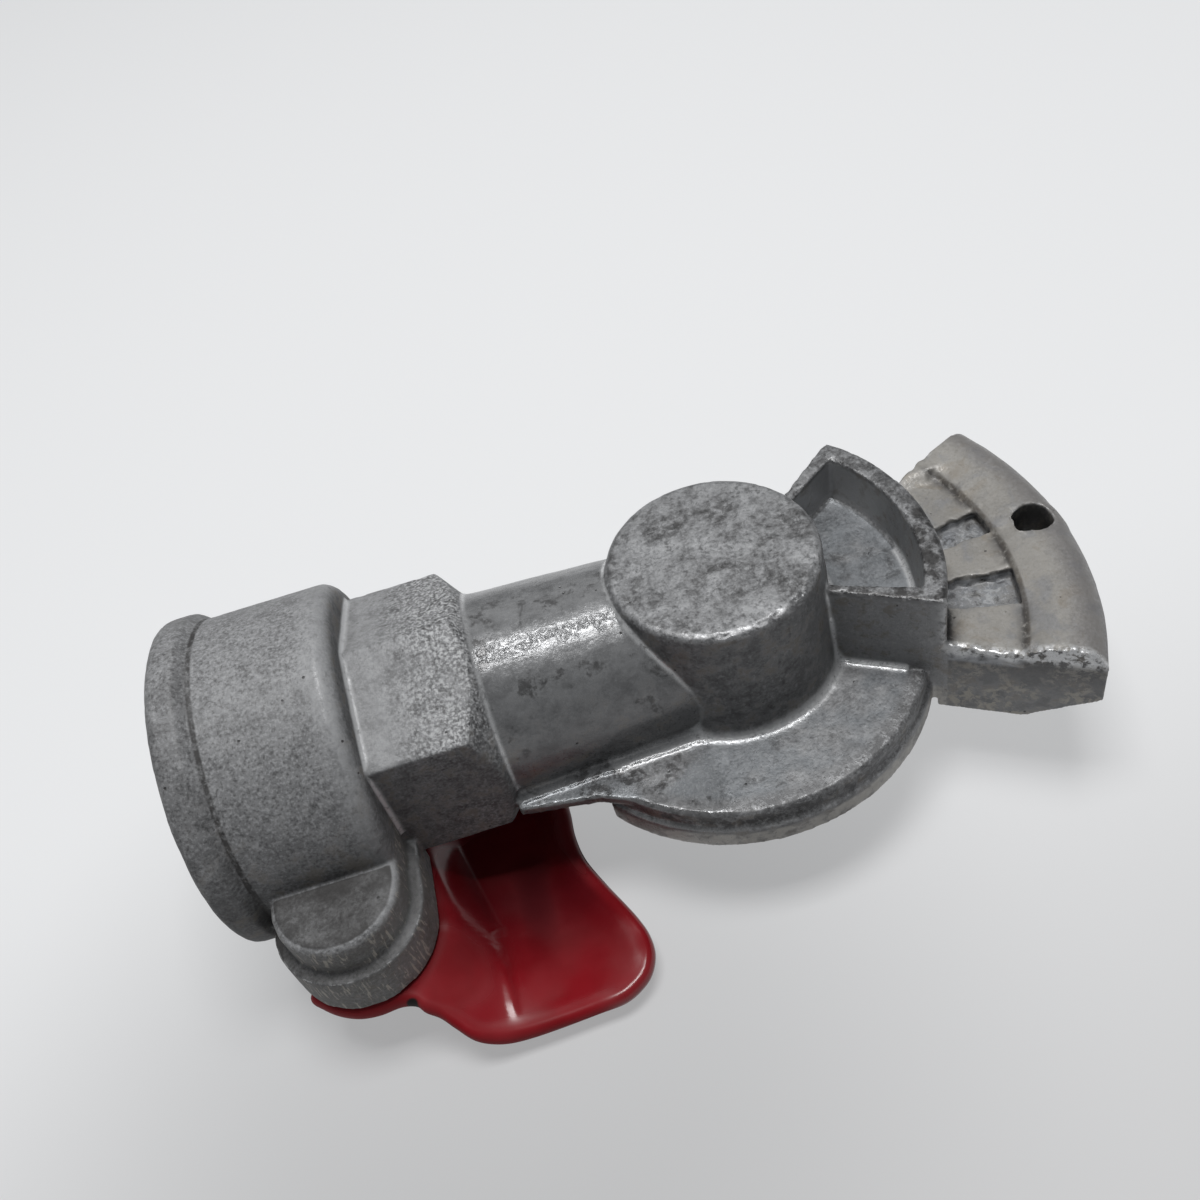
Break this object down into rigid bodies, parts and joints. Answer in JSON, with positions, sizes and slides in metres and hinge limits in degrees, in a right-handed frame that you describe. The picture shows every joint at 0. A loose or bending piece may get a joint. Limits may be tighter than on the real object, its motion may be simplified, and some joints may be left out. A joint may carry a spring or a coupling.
{
  "type": "gladhand air brake coupler",
  "caption": "Cast gladhand air coupling head with a pocketed hook, round seal boss, wrench flats, a mounting socket and a coated lock lever that swings on a side ear.",
  "frame": {"origin": "centre of the seal on the coupling face", "axes": "+X from the seal to the hook, -X towards the mounting socket, +Z away from the mating head, so the back of the coupler faces up"},
  "size_m": [0.172, 0.0873, 0.0659],
  "materials": {
    "cast_body": "die-cast, grimy, worn bright at the edges",
    "seal_rubber": "moulded black rubber",
    "spring_steel": "spring steel",
    "pin_steel": "plated steel",
    "red_coat": "thick glossy dipped coat over steel plate"
  },
  "bodies": {
    "head": {"body": "cast_body", "face_seal": "seal_rubber", "detent_plate": "spring_steel", "detent_rivets": "pin_steel", "socket_ring": "seal_rubber", "pin_clip": "spring_steel", "lever_spring": "spring_steel"},
    "lever": {"lock_pin": "pin_steel", "lock_lever": "red_coat", "lever_washer": "pin_steel", "lever_screw": "pin_steel"}
  },
  "joints": [
    {"name": "lever_swing", "type": "hinge", "parent": "head", "child": "lever", "pos_m": [-0.0817, -0.032, 0], "axis": [0, 0, 1], "range_deg": [-60, 0]}
  ]
}
